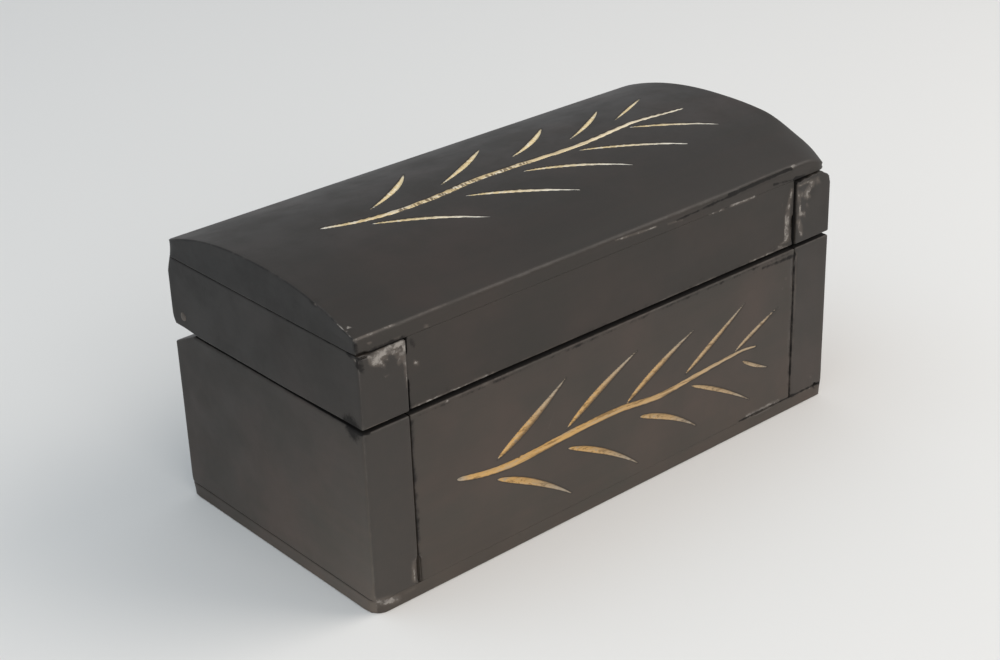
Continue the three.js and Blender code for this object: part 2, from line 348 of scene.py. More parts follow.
def stem_width(t, taper):
    """A stem's shape: full soon after its start, then thinner by the taper."""
    return np.sin(math.pi * t) ** 0.3 * (1 - taper * t)


def spray(stem, stem_full, taper, leaves, length, height):
    """Each cut of a spray as its line, its half widths and its share of the way."""
    line, t = stem_line(stem, length, height)
    cuts = [(line, t, stem_full, stem_width(t, taper))]
    for group, skew in leaves:
        for leaf in group:
            line, t = leaf_line(leaf, length, height)
            cuts.append((line, t, leaf[5], leaf_width(t, skew)))
    made = []
    for line, t, width, shape in cuts:
        full = tip_width + (width - tip_width) * np.clip(shape, 0, 1)
        made.append((line, full / 2, t))
    return made


front_spray = spray(front_stem, 2.35, 0.6, [(front_upper, 0.75), (front_lower, 0.65)],
                    front_length, front_height)
dome_spray = spray(dome_stem, 2.0, 0.3, [(dome_upper, 1.1), (dome_lower, 0.8)],
                   dome_length, dome_depth)
print("cuts on the front:", len(front_spray), "and on the dome:", len(dome_spray))


# %% Depth under the gouge
def cut_field(places, cuts):
    """For flat places: distance inside the nearest cut, half width, way along, side, number."""
    best = np.full(len(places), -FAR)
    side = np.zeros(len(places))
    half = np.ones(len(places))
    way = np.zeros(len(places))
    which = np.zeros(len(places), int)
    for number, (line, half_widths, t) in enumerate(cuts):
        for i in range(len(line) - 1):
            step = line[i + 1] - line[i]
            gone = places - line[i]
            share = np.clip(gone @ step / (step @ step), 0, 1)
            away = np.linalg.norm(gone - share[:, None] * step, axis=1)
            left = (step[0] * gone[:, 1] - step[1] * gone[:, 0]) / np.linalg.norm(step)
            here = half_widths[i] * (1 - share) + half_widths[i + 1] * share
            better = here - away > best
            best[better] = (here - away)[better]
            half[better] = here[better]
            way[better] = (t[i] * (1 - share) + t[i + 1] * share)[better]
            side[better] = (left / here)[better]
            which[better] = number
    return best, half, way, side, which


# %% [markdown]
# ## Hand work and wear in the mesh
#
# No face of a planed and painted board is quite flat. A few long waves of about a tenth
# of a millimetre keep the highlights from lying dead straight. A knock is a short line
# with a reach and a depth, and the mesh sinks there. A worn corner is rounded off. Both
# move the mesh only inward, so the box keeps its measured size.

# %% Ramps
def ramp(values, start, length):
    """None up to the start, then rising evenly to one over the length."""
    return np.clip((values - start) / length, 0, 1)


def eased(share):
    """A share from none to one with soft ends."""
    return share * share * (3 - 2 * share)


# %% Waves and knocks
wave_directions = [
    (0.045, 0.13, 0.09), (-0.031, 0.21, 0.17), (0.09, -0.11, 0.24), (0.17, 0.05, -0.13),
]
wave_heights = [0.028, 0.02, 0.014, 0.01]
wave_shift = 1.7
SMALLEST = 1e-9


def waves(points, start):
    """Depths of slow waves over a board, from none to twice their heights."""
    total = np.zeros(len(points))
    for number, (direction, height) in enumerate(zip(wave_directions, wave_heights)):
        phase = points @ np.array(direction) * 2 + start + number * wave_shift
        total += height * (1 + np.sin(phase))
    return total


def nearness(points, first, last, reach):
    """One on the line from first to last, falling softly to none at the reach."""
    first, last = np.array(first, float), np.array(last, float)
    step = last - first
    share = np.clip((points - first) @ step / max(step @ step, SMALLEST), 0, 1)
    away = np.linalg.norm(points - first - share[:, None] * step, axis=1)
    return eased(np.clip(1 - away / reach, 0, 1))


# %% Corners worn round
def round_off(points, corner, radius, middle, reach):
    """Wear an upright corner round, most at one height and less away from it.

    The corner is its place along and across. Points outside the round come in to it.
    """
    points = points.copy()
    signs = np.sign(corner)
    round_here = radius * eased(np.clip(1 - np.abs(points[:, 2] - middle) / reach, 0, 1))
    over = points[:, :2] * signs - (np.abs(corner) - round_here[:, None])
    far = np.linalg.norm(np.maximum(over, 0), axis=1)
    outside = (over > 0).all(axis=1) & (far > round_here) & (round_here > 0)
    share = np.where(outside, round_here / np.maximum(far, SMALLEST), 1)
    moved = over * share[:, None] + np.abs(corner) - round_here[:, None]
    points[outside, :2] = (moved * signs)[outside]
    return points


# %% One skin from points and faces
def skin(name, points, faces, marks):
    """A mesh object in metres with a named number at each point for the materials."""
    mesh = bpy.data.meshes.new(name)
    mesh.from_pydata((points * MILLIMETRE).tolist(), [], faces)
    mesh.shade_smooth()
    for title, values in marks.items():
        field = mesh.attributes.new(title, "FLOAT", "POINT")
        field.data.foreach_set("value", np.asarray(values, np.float32))
    mesh.update()
    piece = bpy.data.objects.new(name, mesh)
    bpy.context.scene.collection.objects.link(piece)
    return piece


def outward(points, faces):
    """Normals of the points of a closed mesh, made from the faces round each."""
    mesh = bpy.data.meshes.new("measure")
    mesh.from_pydata(points.tolist(), [], faces)
    normals = np.zeros(len(points) * 3, np.float32)
    mesh.vertex_normals.foreach_get("vector", normals)
    bpy.data.meshes.remove(mesh)
    return normals.reshape(-1, 3).astype(float)


# %% [markdown]
# ## Places of wear
#
# The photograph shows where this box was handled. The end boards' front edges have
# bright scuffs, the bottom left corner is knocked round, the crack at the right has a
# flaking edge and the arris along the dome is rubbed pale. Each place is a line on the
# box in millimetres with its reach and strength, and the same list serves every board.

# %% Scuffs that lay paint bare
OUTER_FRONT, LID_FRONT = -37.0, -36.4


def on_front(across, rows):
    """Lines on an upright front face, from rows of two places, a reach and a strength."""
    return [((x, across, up), (far_x, across, far_up), reach, strength)
            for x, up, far_x, far_up, reach, strength in rows]


scuffs = on_front(OUTER_FRONT, [
    # lid, left end board's front edge: a torn band under its top, turning down its right side
    (-71.4, 63.4, -66.4, 64.2, 2.3, 1.0),
    (-67.2, 64.2, -62.9, 64.8, 1.9, 1.0),
    (-71.0, 62.2, -69.0, 61.6, 1.4, 0.75),
    (-65.8, 63.2, -64.8, 62.4, 1.3, 0.85),
    (-67.4, 62.4, -68.2, 60.6, 1.1, 0.6),
    (-63.4, 62.4, -64.2, 60.0, 1.3, 0.65),
    (-62.7, 64.4, -62.8, 58.6, 0.8, 0.85),
    (-62.6, 58.0, -62.6, 53.0, 0.6, 0.6),
    (-68.0, 58.2, -67.0, 58.3, 0.9, 0.5),
    # lid, right end board's front edge
    (63.0, 63.6, 67.0, 63.8, 1.1, 0.6),
    (65.8, 60.0, 68.2, 62.6, 1.8, 0.9),
    (64.8, 60.4, 67.0, 59.0, 1.3, 0.75),
    (63.0, 61.4, 63.6, 56.0, 1.1, 0.7),
    (63.2, 55.6, 65.4, 54.9, 1.0, 0.8),
    (63.2, 53.6, 64.4, 49.6, 1.3, 0.75),
    (66.4, 57.4, 67.0, 55.8, 0.8, 0.5),
    (69.6, 63.6, 70.6, 61.6, 1.0, 0.6),
    # base, bottom left corner and the chip by the left crack
    (-74.0, 3.6, -68.8, 2.2, 1.7, 0.9),
    (-68.0, 2.4, -64.0, 2.6, 0.8, 0.4),
    (-63.2, 9.6, -64.0, 5.0, 1.1, 0.8),
    (-63.0, 12.6, -63.0, 10.6, 0.5, 0.4),
    # base, bottom right
    (45.8, 4.3, 57.8, 4.4, 1.2, 0.85),
    (66.0, 3.6, 72.0, 3.5, 0.9, 0.55),
    (70.6, 6.9, 71.0, 6.9, 0.7, 0.8),
    # base, beside the right crack
    (63.0, 45.0, 63.2, 9.0, 0.75, 0.6),
    (61.6, 41.0, 61.7, 34.0, 0.45, 0.5),
    (58.0, 36.5, 60.5, 41.5, 0.45, 0.4),
    # base, specks on the front and by the rim
    (-52.6, 45.9, -51.8, 46.0, 0.7, 0.6),
    (-20.5, 31.0, -22.5, 27.6, 0.45, 0.35),
    (-42.0, 45.9, -40.2, 46.0, 0.5, 0.4),
])
scuffs += on_front(LID_FRONT, [
    # lid, paint broken at the dome's left front corner
    (-75.0, 66.2, -74.2, 65.6, 0.8, 0.55),
    # lid, the pale line along the dome's front arris and the joint under it
    (-71.6, 66.8, -71.0, 67.0, 0.5, 0.7),
    (17.0, 66.8, 22.0, 66.4, 0.5, 0.5),
    (31.0, 64.9, 36.0, 64.9, 0.5, 0.6),
    (38.5, 65.0, 47.0, 64.9, 0.5, 0.75),
    # lid, small spots on the front
    (-56.5, 65.6, -56.0, 65.5, 0.7, 0.6),
    (-59.8, 58.2, -59.2, 57.6, 0.9, 0.7),
    # lid, beside the right crack
    (60.9, 62.4, 59.6, 57.6, 1.2, 0.7),
    (59.6, 56.0, 59.4, 49.8, 1.7, 0.95),
    (59.6, 49.4, 56.6, 48.3, 0.9, 0.6),
    (61.2, 56.0, 61.2, 49.0, 0.7, 0.6),
    (57.4, 60.0, 57.0, 56.0, 0.8, 0.4),
    # lid, pale dashes along its lower arris
    (-61.6, 47.6, -38.0, 47.5, 0.5, 0.75),
    (-30.0, 47.5, -12.0, 47.5, 0.35, 0.5),
    (14.0, 47.5, 34.0, 47.5, 0.4, 0.55),
    (46.0, 47.6, 60.0, 47.5, 0.5, 0.75),
])
scuffs += [
    # lid, paint broken at the dome's left front corner
    ((-75.0, -36.2, 68.8), (-75.0, -30.4, 70.6), 0.4, 0.7),
    ((-75.0, -33.4, 70.0), (-73.6, -32.6, 70.1), 0.7, 0.85),
    ((-75.0, -23.0, 72.4), (-74.6, -22.4, 72.5), 0.7, 0.8),
    ((-75.0, -35.6, 64.4), (-75.0, -36.6, 63.6), 0.7, 0.55),
    # lid, the pale line along the dome's front arris and the joint under it
    ((-75.0, -35.9, 68.6), (-64.0, -35.9, 68.6), 0.5, 0.8),
    ((-62.0, -35.9, 68.6), (-50.0, -35.9, 68.6), 0.4, 0.55),
    ((0.0, -36.2, 67.9), (13.0, -36.4, 67.3), 0.6, 0.7),
    ((60.4, -36.2, 68.4), (62.4, -36.0, 68.8), 1.0, 0.8),
    # lid, pale dashes along its lower arris
    ((-74.0, -36.9, 47.6), (-63.0, -36.9, 47.5), 0.45, 0.6),
    # base, bottom left corner and the chip by the left crack
    ((-75.0, -36.6, 5.0), (-75.0, -36.8, 2.0), 0.9, 0.6),
    # back and right, in keeping with the front
    ((75.0, 34.0, 3.8), (75.0, 36.6, 5.2), 1.4, 0.8),
    ((75.0, 30.0, 46.0), (75.0, 36.0, 42.8), 0.8, 0.5),
    ((-60.0, 37.0, 4.0), (-49.0, 37.0, 3.8), 1.1, 0.6),
    ((22.0, 37.0, 68.2), (31.0, 37.0, 68.4), 0.7, 0.6),
]

# %% Painted shade in creases, cracks, gaps and the seam
painted_shade_lines = [
    # painted shade in the crease along the dome's front arris at the right
    ((20.0, -36.4, 66.8), (44.0, -36.3, 67.8), 0.7, 0.7),
    ((38.0, -36.3, 67.9), (60.6, -36.2, 68.3), 0.75, 1.3),
    ((54.0, -36.4, 66.0), (61.6, -36.4, 65.2), 0.7, 0.6),
    # painted shade in the gaps over the end boards' front edges, and round the dome's left corner
    ((62.0, -36.0, 65.0), (75.0, -34.0, 65.0), 1.5, 1.5),
    ((-71.0, -35.8, 65.0), (-62.2, -35.8, 65.0), 1.3, 1.4),
    ((-75.0, -36.6, 67.4), (-73.8, -37.0, 61.6), 1.6, 0.65),
    ((-75.0, -33.5, 64.9), (-75.0, -34.7, 64.4), 0.7, 1.0),
    ((-75.0, -36.4, 63.4), (-74.4, -37.0, 62.0), 0.9, 1.0),
    ((-75.0, -33.0, 64.9), (-75.0, -2.0, 64.9), 0.45, 0.5),
    # painted shade in and beside the cracks
    ((-60.4, -36.4, 63.6), (-59.8, -36.4, 62.0), 1.8, 0.5),
    ((62.2, -35.4, 64.8), (62.2, -35.4, 47.4), 1.3, 2.4),
    ((-62.2, -35.5, 64.8), (-62.2, -35.5, 47.4), 1.2, 2.2),
    ((62.2, -37.0, 45.0), (62.2, -37.0, 5.0), 0.8, 0.8),
    ((-62.2, -37.0, 45.0), (-62.2, -37.0, 5.0), 0.5, 0.6),
    # painted shade on the rim, deep in the seam
    ((-75.0, -35.9, 46.7), (75.0, -35.9, 46.7), 1.15, 2.2),
    ((-75.0, -32.8, 46.9), (75.0, -32.8, 46.9), 5.6, 0.8),
    ((-73.9, -37.0, 46.8), (-73.9, 28.0, 46.8), 1.15, 2.2),
    ((-70.0, -32.0, 46.9), (-70.0, 28.0, 46.9), 5.8, 0.8),
    ((73.9, -36.0, 46.8), (73.9, 28.0, 46.8), 1.15, 2.2),
    ((70.0, -32.0, 46.9), (70.0, 28.0, 46.9), 5.8, 0.8),
    # painted shade under the seam and near the table
    ((-60.0, -37.0, 45.6), (60.0, -37.0, 45.8), 0.8, 0.4),
    ((50.0, -37.0, 44.8), (61.0, -37.0, 44.6), 1.0, 0.6),
    ((43.0, -37.0, 4.0), (75.0, -37.0, 3.6), 0.5, 0.7),
    ((72.0, -37.0, 3.0), (72.9, -37.0, 3.6), 0.7, 1.0),
    ((-60.0, 37.0, 55.0), (60.0, 37.0, 55.0), 1.5, 0.5),
]

# %% Knocks that move the wood
knocks = [
    ((-62.3, -37.2, 9.6), (-62.3, -37.2, 4.4), 1.3, 0.5),
    ((-75.0, -33.6, 70.2), (-74.6, -33.0, 70.4), 1.1, 0.35),
    ((-75.0, -22.8, 72.6), (-75.0, -22.2, 72.8), 0.9, 0.3),
    ((-74.6, -37.0, 64.8), (-72.6, -37.0, 64.8), 1.5, 0.6),
    ((-68.6, -37.2, 62.2), (-67.2, -37.2, 60.4), 1.1, 0.3),
    ((-65.6, -37.2, 62.2), (-64.6, -37.2, 61.6), 0.8, 0.25),
    ((65.4, -37.2, 61.2), (67.6, -37.2, 60.6), 1.2, 0.35),
    ((61.7, -36.6, 55.0), (61.5, -36.6, 49.0), 1.0, 0.3),
    ((62.2, -37.1, 44.0), (62.2, -37.1, 36.0), 0.7, 0.3),
    ((62.2, -37.1, 27.0), (62.2, -37.1, 17.0), 0.6, 0.25),
    ((72.2, -37.2, 3.6), (72.9, -37.2, 3.6), 0.9, 0.5),
    ((48.0, -37.1, 3.8), (56.0, -37.1, 3.9), 0.8, 0.2),
    ((42.0, -36.6, 68.1), (60.0, -36.4, 68.3), 1.1, 0.4),
    ((37.0, 37.2, 46.0), (42.0, 37.2, 46.2), 1.0, 0.3),
]

# %% Corners that are worn round
# Each is the corner's place, its radius, the height where it is most worn and the reach.
worn_corners = [
    ((-75.0, -37.0), 4.4, -1.0, 11.0),
    ((75.0, -37.0), 1.1, 65.0, 3.5),
    ((-75.0, 37.0), 3.4, 68.0, 9.0),
    ((75.0, 37.0), 3.0, 67.5, 9.0),
    ((75.0, -37.0), 1.4, 0.0, 8.0),
    ((75.0, 37.0), 2.4, 0.0, 9.0),
    ((-75.0, 37.0), 1.8, 0.0, 8.0),
    ((-75.0, -37.0), 1.2, 64.6, 4.0),
]
print("places of wear:", len(scuffs), "scuffs,", len(knocks), "knocks and",
      len(worn_corners), "corners")


# %% Painted light and shade on the ends and the front
SHADE_OFFSET, DARKEST = 0.27, 0.05
END_START, END_TO_BACK, END_TO_TOP = 0.36, 0.0095, 0.0165
FRONT_START, FRONT_TO_TOP = 0.13, 0.0056
SEAM_HEIGHT = 47.0
BOX_END, END_SKIN = 74.0, 0.3
FRONT_ZONE = (35.0, 1.2)


def painted_light_share(points, left, right):
    """Share of the paint's brightness that is left: the ends darken toward the top and back."""
    # Painted light and shade: ends darker toward the top and back, the front lighter below.
    along, across, up = points.T
    on_end = np.clip(1 - np.minimum(along - left, right - along) / END_SKIN, 0, 1)
    at_box_end = on_end * (np.abs(along) > BOX_END)
    end_share = np.exp(END_START - END_TO_BACK * across - END_TO_TOP * up)
    at_front = ramp(-across, *FRONT_ZONE) * (up < SEAM_HEIGHT)
    front_share = np.exp(FRONT_START - FRONT_TO_TOP * up)
    share = 1 + (front_share - 1) * at_front
    share = share + (end_share - share) * at_box_end
    return np.maximum((share - SHADE_OFFSET) / (1 - SHADE_OFFSET), DARKEST)


# %% How strong the wear is at each point
def strongest(points, places):
    """The strength of the listed place that reaches each point most."""
    total = np.zeros(len(points))
    for first, last, reach, strength in places:
        total = np.maximum(total, strength * nearness(points, first, last, reach))
    return total


# %% Dress one board
PAINT_REACHES = 31.0
NOT_CUT = -5.0
CALM_WIDTH, CALM_SHARE = 3.0, 0.2


def dress(name, corners, span, step, arris, start, inner=(), hidden=(), ends=(), fine=None,
          cuts=None, flat=None, bare_part=None, reshape=None):
    """A board's skin. Its faces are numbered round the outline, then its left and right end.

    inner names faces left as bare wood, hidden those in joints, ends those of end grain.
    The waves are calmer near the arrises. Inner faces are bare only as far toward the front
    and back as the paint leaves them.
    """
    left, right = span
    places = stations(left, right, step, arris, fine)
    points, layer_count, around = board_points(corners, places, max(step, 1.0))
    faces = board_faces(layer_count, around)
    distances = face_distances(points, corners, left, right)
    edge, border, face = arris_and_face(distances, hidden)
    depth = waves(points, start) * np.clip(border / CALM_WIDTH, CALM_SHARE, 1)
    for first, last, reach, sink in knocks:
        depth += sink * nearness(points, first, last, reach)
    if bare_part is None:
        within = np.minimum(border, PAINT_REACHES - np.abs(points[:, 1]))
        bare = np.where(np.isin(face, inner), within, -border)
    else:
        bare = bare_part(points)
    none = np.zeros(len(points))
    marks = {
        "edge": edge, "scuff": strongest(points, scuffs), "painted_shade_lines": strongest(points, painted_shade_lines),
        "painted_light_gradient": painted_light_share(points, left, right), "bare": bare, "endgrain": np.isin(face, ends),
        "cut": none + NOT_CUT, "tip": none, "side": none, "hatch": none,
    }
    if cuts is not None:
        depth += carve(points, face, cuts, flat, marks)
    points = points - outward(points, faces) * depth[:, None]
    for corner, radius, middle, reach in worn_corners:
        points = round_off(points, corner, radius, middle, reach)
    if reshape is not None:
        reshape(points)
    print(name, "has", len(points), "points")
    return skin(name, points, faces, marks)


# %% [markdown]
# ## From distance to depth
#
# A gouge leaves a rounded trough, deepest in the middle. The stem of the dome was cut in
# short pushes that jumped, which left rough hatching across it, and the front stem has
# one small dark notch. Both are part of the depth, so light finds them, and marks on the
# mesh let the finish darken them. The notch's darkness is painted shade.

# %% Hatching on the dome's stem
hatch_from, hatch_to, hatch_fade = -38.0, 12.0, 5.0
hatch_pitch, hatch_depth = 1.0, 0.45


def hatching(along, across):
    """How far the gouge jumped at each place, from none to one."""
    lean = along + 0.8 * across + 0.3 * np.sin(along * 1.9)
    jump = 0.5 + 0.5 * np.sin(2 * math.pi * lean / hatch_pitch)
    jump *= 0.6 + 0.4 * np.sin(along * 1.3 + 4 * across)
    return jump * ramp(along, hatch_from, hatch_fade) * ramp(-along, -hatch_to, hatch_fade)


# %% Carve a face
depth_share, tremble_share = 0.5, 0.08
notch_place, notch_reach = np.array([-30.9, -1.75]), 0.8
notch_depth, notch_shade = 0.9, 2.5
# Wood in a cut is palest at its tips, and the front's cuts are paler toward the right.
pale_foot, pale_stem, dome_leaf_loss = 14, 0.7, 0.45
pale_left, pale_gain, pale_from, pale_over = 0.3, 0.45, -20.0, 75.0


def carve(points, face, cuts, flat, marks):
    """Depth of the cuts on one face, and marks for the bare wood in them."""
    kind, face_number, middle = flat
    along = points[:, 0]
    across = points[:, 2 if kind == "front" else 1] - middle
    places = np.column_stack([along, across])
    best, half, way, side, which = cut_field(places, cuts)
    on_face = face == face_number
    best = np.where(on_face, best, NOT_CUT)
    inside = np.clip(best / half, 0, 1)
    depth = 2 * half * depth_share * (1 - (1 - inside) ** 2)
    depth *= 1 + tremble_share * np.sin(along * 3.1 + across * 2.3 + which)
    upper_leaf = (which > 0) & (which <= len(dome_upper))
    tip = np.maximum(np.where(which == 0, way * pale_stem, way), 1 - way * pale_foot)
    if kind == "dome":
        tip = np.where(upper_leaf, tip - dome_leaf_loss, tip)
        marks["hatch"] = hatching(along, across) * (which == 0) * (inside > 0)
        depth -= hatch_depth * marks["hatch"] * inside
    else:
        tip = np.maximum(tip, pale_left + pale_gain * ramp(along, pale_from, pale_over))
        away = np.linalg.norm(places - notch_place, axis=1)
        near = np.clip(1 - away / notch_reach, 0, 1)
        depth += notch_depth * near ** 2 * on_face
        # Painted shade: the side mark darkens the shaded wall of each cut and the notch. The
        # front's upper leaves are shaded on their other side.
        side = np.maximum(np.where(upper_leaf, -side, side), notch_shade * near)
    marks.update(cut=best, tip=tip, side=np.where(best > -1, side, 0))
    return np.maximum(depth, 0)


# %% [markdown]
# ## The base
#
# The front and back boards are let in between the two end boards, and all four stand on
# the bottom board. Sizes are read off the solids, so the skins follow them. Each corner
# of an outline is a place across and up, its rounding and the spacing after it. The
# solids keep a thin gap where glue is; paint has filled it on the real box, so two skins
# each grow by half the gap and meet in a hairline.

# %% Sizes off the solids
def limits(node):
    """Lowest and highest place of a solid, in millimetres."""
    low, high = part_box(node)
    return np.array(low) / MILLIMETRE, np.array(high) / MILLIMETRE


def rectangle(low, high, roundings, spacings):
    """A rectangular outline from its lower front corner, anticlockwise."""
    places = [(low[1], low[2]), (high[1], low[2]), (high[1], high[2]), (low[1], high[2])]
    return [(*place, r, s) for place, r, s in zip(places, roundings, spacings)]


painted, hairline = 0.45, 0.1
half_glue = 0.095
coarse, fine_step = 1.3, 0.34
front_fine = (-53.0, 53.0, fine_step)

# %% Bottom board
low, high = limits("base_bottom")
high[2] += half_glue
outline = rectangle(low, high, (painted, painted, hairline, hairline), (2.0, 0.9, 2.0, 0.9))
bottom = dress("box_bottom", outline, (low[0], high[0]), step=1.2, arris=painted, start=0.3,
               inner=(2,), hidden=(2,))

# %% Front wall with its spray
crack_width = 0.22
low, high = limits("base_front")
low[2] -= half_glue
outline = rectangle(low, high, (hairline, 0.3, 0.25, 0.25), (coarse, coarse, coarse, fine_step))
front = dress("box_front", outline, (low[0] - half_glue, high[0] - crack_width), step=coarse,
              arris=0.12, start=1.1, inner=(1,), hidden=(0, 4, 5), fine=front_fine,
              cuts=front_spray, flat=("front", 3, front_middle))

# %% [markdown]
# The back wall stands up above the rim as a round-topped knuckle between the lid's ends.
# The pegs run into it, so its round is drawn about the line that the lid turns on.

# %% Back wall with its knuckle
low, high = limits("base_back")
knuckle_radius = (high[1] - low[1]) / 2
hinge_across = (high[1] + low[1]) / 2
hinge_up = high[2] - knuckle_radius
knuckle_steps = 14
slope_start = (28.64, 46.4)
slope_end = (37.0, 42.5)
turns = [math.pi * k / knuckle_steps for k in range(knuckle_steps + 1)]
low[2] -= half_glue
outline = [(low[1], low[2], hairline, 1.6), (high[1], low[2], hairline, coarse)]
outline += [
    (hinge_across + knuckle_radius * math.cos(t), hinge_up + knuckle_radius * math.sin(t), 0, 1.5)
    for t in turns
]
inner_side = low[1]
rim = slope_start[1]


def inside_below_rim(points):
    """How far each point lies inside the back wall's bare part, which ends at the rim."""
    return np.minimum(rim - points[:, 2], knuckle_radius + inner_side - points[:, 1])


back = dress("box_back", outline, (low[0], high[0]), step=coarse, arris=0.3, start=2.9,
             hidden=(0,), bare_part=inside_below_rim)


# %% [markdown]
# The end walls run through from front to back, with their grain. Behind, their top corner
# is planed off at a slope, which lets the lid lean back when it is open.

# %% End walls
ends_of_base = []
for node, name, inner_face, start in (
    ("base_end_left", "box_end_left", 6, 0.7), ("base_end_right", "box_end_right", 5, 2.1),
):
    low, high = limits(node)
    low[2] -= half_glue
    outline = [
        (low[1], low[2], hairline, 1.0), (high[1], low[2], hairline, 1.0),
        (*slope_end, painted, 1.0), (*slope_start, 0.5, 1.0), (low[1], high[2], 0.5, 1.0),
    ]
    ends_of_base.append(dress(name, outline, (low[0], high[0]), step=1.0, arris=0.5, start=start,
                              inner=(inner_face,), hidden=(0,), ends=(4,)))

# %% [markdown]
# ## The lid
#
# The lid's top board is domed from front to back and carries the second spray. Its four
# walls sit under it. The joint under the front of the dome is filled with paint in the
# photograph, so the skins over and under it grow until they close it.

# %% Domed top with its spray
low, high = limits("lid_top")
dome_rise, fullness = 6.4, 2.3
dome_foot, dome_edge = low[2], high[2] - low[2] - dome_rise
spring_line = dome_foot + dome_edge
half_depth = (high[1] - low[1]) / 2
spray_reach, first_flat = 21.0, 3.2
plain_step, carved_step, dome_fine = 1.1, 0.35, (-55.0, 62.0, 0.44)
dome_points = [-half_depth] + spaced(-half_depth + first_flat, -spray_reach, plain_step)[:-1]
dome_points += spaced(-spray_reach, spray_reach, carved_step)
dome_points += spaced(spray_reach, half_depth - first_flat, plain_step)[1:] + [half_depth]
dome_foot -= half_glue


def dome_height(across):
    """Height of the dome at a distance from its middle line."""
    return spring_line + dome_rise * (1 - (abs(across) / half_depth) ** fullness)


worn_corner_of_dome = ((75.0, -36.4), 4.7, 67.0, 12.0)
tired_from, tired_drop, corner_drop = 65.5, 2.6, 4.6
drop_start, drop_width = 14.0, 16.0
corner_start, corner_width = 27.0, 9.4
lowest_share = 0.2


def tired_end(points):
    """At its right end the dome is worn down in a soft curve, and its front corner is gone."""
    points[:] = round_off(points, *worn_corner_of_dome)
    along = ramp(points[:, 0], tired_from, 75.0 - tired_from)
    toward_front = -points[:, 1]
    drop = tired_drop * eased(ramp(toward_front, drop_start, drop_width))
    drop += corner_drop * ramp(toward_front, corner_start, corner_width) ** 2
    above = points[:, 2] - dome_foot
    drop = drop * (1 - np.sqrt(1 - along ** 2)) * np.clip(above / dome_edge, 0, 1)
    points[:, 2] -= np.minimum(drop, (1 - lowest_share) * above)


soft_spring = 1.2
outline = [(low[1], dome_foot, hairline, 2.0), (high[1], dome_foot, hairline, 0.6)]
for number, across in enumerate(reversed(dome_points)):
    at_end = number in (0, len(dome_points) - 1)
    rounding = soft_spring if at_end else 0
    outline.append((dome_middle + across, dome_height(across), rounding, 0.6))
top = dress("lid_dome", outline, (low[0], high[0]), step=plain_step, arris=0.35, start=4.2,
            inner=(0,), hidden=(0,), ends=(4, 5), fine=dome_fine, cuts=dome_spray,
            flat=("dome", 2, dome_middle), reshape=tired_end)

# %% Lid's front wall
crack_open, right_crack, crack_reach = 0.6, 0.4, 1.5
open_low, open_high, open_fade = 55.5, 60.5, 0.8


def left_crack(points):
    """The left crack stands open below and above the place where paint fills it."""
    along, _, up = points.T
    open_share = ramp(-up, -open_low, open_fade) + ramp(up, open_high, open_fade)
    points[:, 0] += crack_open * open_share * np.clip(1 - (along - along.min()) / crack_reach, 0, 1)


low, high = limits("lid_front")
high[2] += half_glue
outline = rectangle(low, high, (0.25, 0.3, hairline, hairline), (coarse, coarse, coarse, 0.7))
lid_front = dress("lid_front_wall", outline, (low[0] - half_glue, high[0] - right_crack),
                  step=0.8, arris=0.15, start=5.3, inner=(1,), hidden=(2, 4, 5),
                  reshape=left_crack)

# %% Lid's back wall
low, high = limits("lid_back")
high[2] += half_glue
foot_end = 31.11
outer_foot = 58.30
outline = [
    (low[1], low[2], 0.3, 1.2), (foot_end, low[2], 0.4, 1.2), (high[1], outer_foot, 0.5, coarse),
    (high[1], high[2], hairline, coarse), (low[1], high[2], hairline, coarse),
]
lid_back = dress("lid_back_wall", outline, (low[0], high[0]), step=coarse, arris=0.3, start=6.4,
                 inner=(4,), hidden=(3, 5, 6))

# %% [markdown]
# The lid's end walls hang a little low along the middle of the seam, so the seam is thin
# at the sides of the box and wide in front. Their front edges stand free of the dome: a
# narrow dark gap shows above each, where a sliver has broken away.

# %% Lid's end walls
corner_steps = 9
sag, left_sliver, right_sliver, corner_loss, loss_bend = 0.42, 0.15, 0.75, 2.5, 1.3
foot_height, least_sliver = 4.0, 0.25
ends_of_lid = []
# A zone is where a ramp starts and how long it is. Those to the front run the other way.
sag_from_front, sag_to_back = (-30.0, 20.0), (-32.0, 6.0)
torn_top, torn_front, torn_to_crack = (62.3, 2.5), (33.5, 0.8), (-71.5, 8.0)
loss_along, loss_front, loss_up = (71.6, 3.4), (30.0, 4.0), (55.0, 9.8)


def seat_end(points):
    """Let the lower face sag between front and back, and sink the front top corner."""
    along, across, up = points.T
    between = ramp(across, *sag_from_front) * ramp(-across, *sag_to_back)
    near_foot = np.clip(1 - (up - up.min()) / foot_height, 0, 1)
    points[:, 2] -= sag * between * near_foot * (up > SEAM_HEIGHT)
    near_top = ramp(up, *torn_top)
    torn = left_sliver + 0.06 * np.sin(along * 2.3)
    if along.mean() > 0:
        toward_crack = np.maximum(ramp(-along, *torn_to_crack), least_sliver)
        torn = right_sliver * toward_crack + 0.18 * np.sin(along * 2.1)
        corner = corner_loss * ramp(along, *loss_along) ** loss_bend
        points[:, 2] -= corner * ramp(-across, *loss_front) * ramp(up, *loss_up)
    points[:, 2] -= torn * ramp(-across, *torn_front) * near_top


for node, name, inner_face, start in (
    ("lid_end_left", "lid_end_left", 4, 3.3), ("lid_end_right", "lid_end_right", 3, 0.2),
):
    low, high = limits(node)
    high[2] += half_glue
    outline = [(low[1], low[2], 0.5, 1.0)]
    drop = hinge_up - low[2]
    first_turn = -math.asin(drop / knuckle_radius)
    for k in range(corner_steps + 1):
        turn = first_turn * (1 - k / corner_steps)
        outline.append((hinge_across + knuckle_radius * math.cos(turn),
                        hinge_up + knuckle_radius * math.sin(turn), 0, 1.0))
    outline += [(high[1], high[2], hairline, 1.0), (low[1], high[2], 0.3, 1.0)]
    ends_of_lid.append(dress(name + "_wall", outline, (low[0], high[0]), step=1.0, arris=0.35,
                             start=start, inner=(inner_face,), hidden=(1,), ends=(2,),
                             reshape=seat_end))

